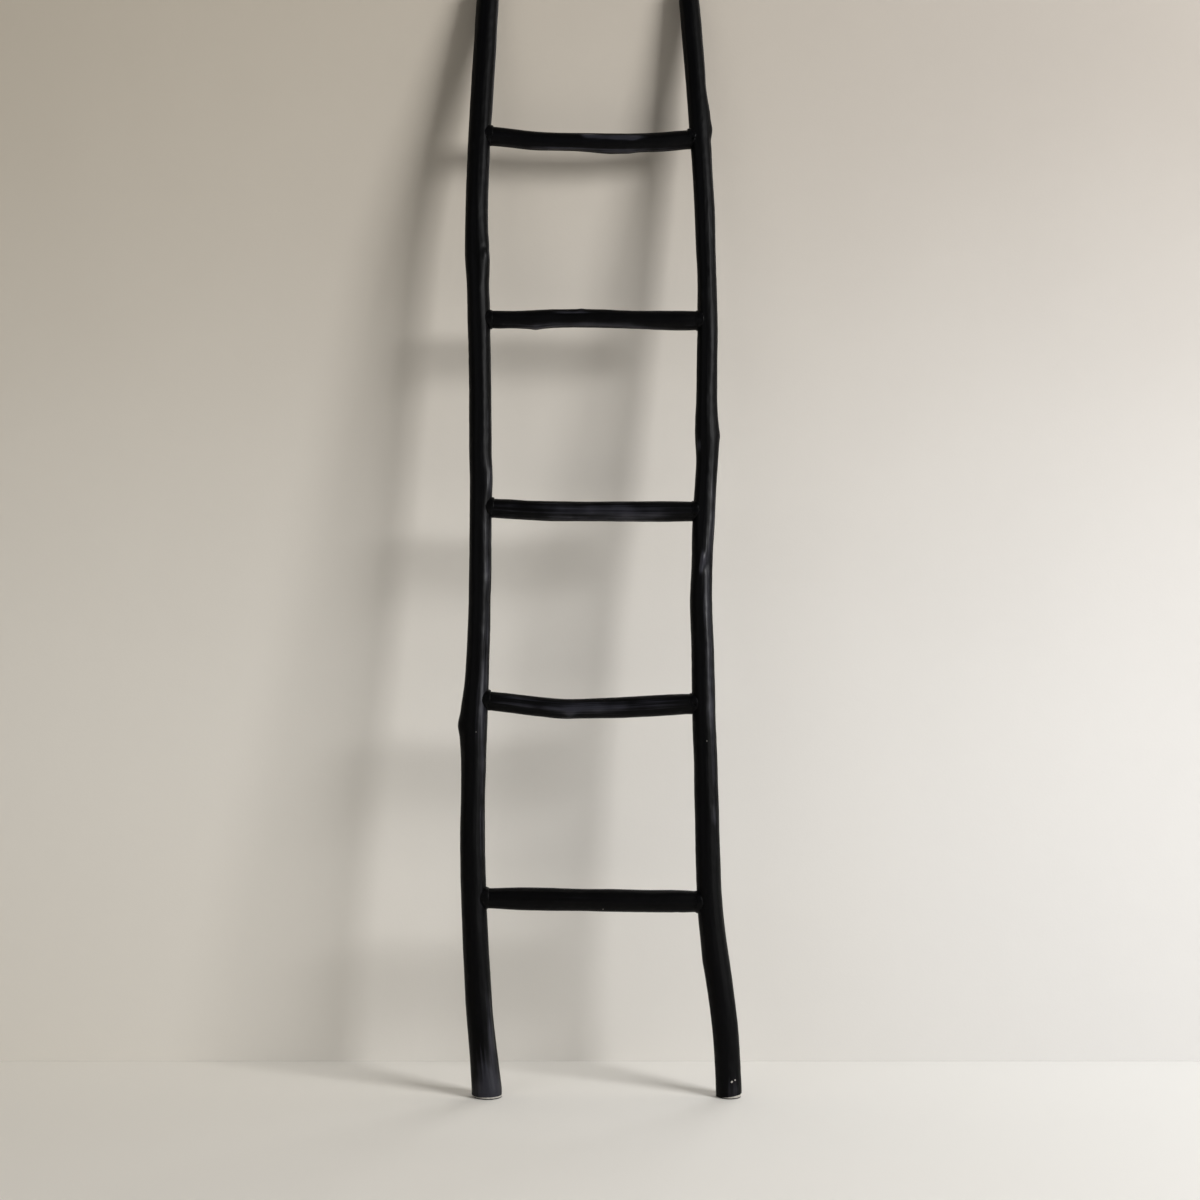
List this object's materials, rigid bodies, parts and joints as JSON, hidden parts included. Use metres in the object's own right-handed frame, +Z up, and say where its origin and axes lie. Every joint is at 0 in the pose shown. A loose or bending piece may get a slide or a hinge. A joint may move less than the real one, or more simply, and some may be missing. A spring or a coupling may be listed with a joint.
{
  "type": "display ladder",
  "caption": "Leaning branch ladder with tenoned rungs and a satin black lacquer, for hanging blankets and towels.",
  "frame": {"origin": "on the floor, at the middle of the leaning ladder's bounding box", "axes": "+Z up from the floor, +Y back towards the wall that the ladder leans on, +X to the right seen from the front"},
  "size_m": [0.4945, 0.2867, 1.9871],
  "materials": {
    "black_lacquered_wood": "satin black lacquer over peeled branch wood",
    "black_lacquered_filler": "smoothed wood filler under satin black lacquer",
    "nail_steel": "bare headless nails, hidden under the filler and lacquer at the backs of the rails",
    "pale_felt": "pressed wool felt"
  },
  "bodies": {
    "root": {"left_rail": "black_lacquered_wood", "right_rail": "black_lacquered_wood", "rung_1": "black_lacquered_wood", "rung_2": "black_lacquered_wood", "rung_3": "black_lacquered_wood", "rung_4": "black_lacquered_wood", "rung_5": "black_lacquered_wood", "rung_1_left_filler": "black_lacquered_filler", "rung_1_right_filler": "black_lacquered_filler", "rung_2_left_filler": "black_lacquered_filler", "rung_2_right_filler": "black_lacquered_filler", "rung_3_left_filler": "black_lacquered_filler", "rung_3_right_filler": "black_lacquered_filler", "rung_4_left_filler": "black_lacquered_filler", "rung_4_right_filler": "black_lacquered_filler", "rung_5_left_filler": "black_lacquered_filler", "rung_5_right_filler": "black_lacquered_filler", "rung_1_left_nail": "nail_steel", "rung_1_right_nail": "nail_steel", "rung_2_left_nail": "nail_steel", "rung_2_right_nail": "nail_steel", "rung_3_left_nail": "nail_steel", "rung_3_right_nail": "nail_steel", "rung_4_left_nail": "nail_steel", "rung_4_right_nail": "nail_steel", "rung_5_left_nail": "nail_steel", "rung_5_right_nail": "nail_steel", "left_foot_pad": "pale_felt", "right_foot_pad": "pale_felt"}
  },
  "joints": []
}
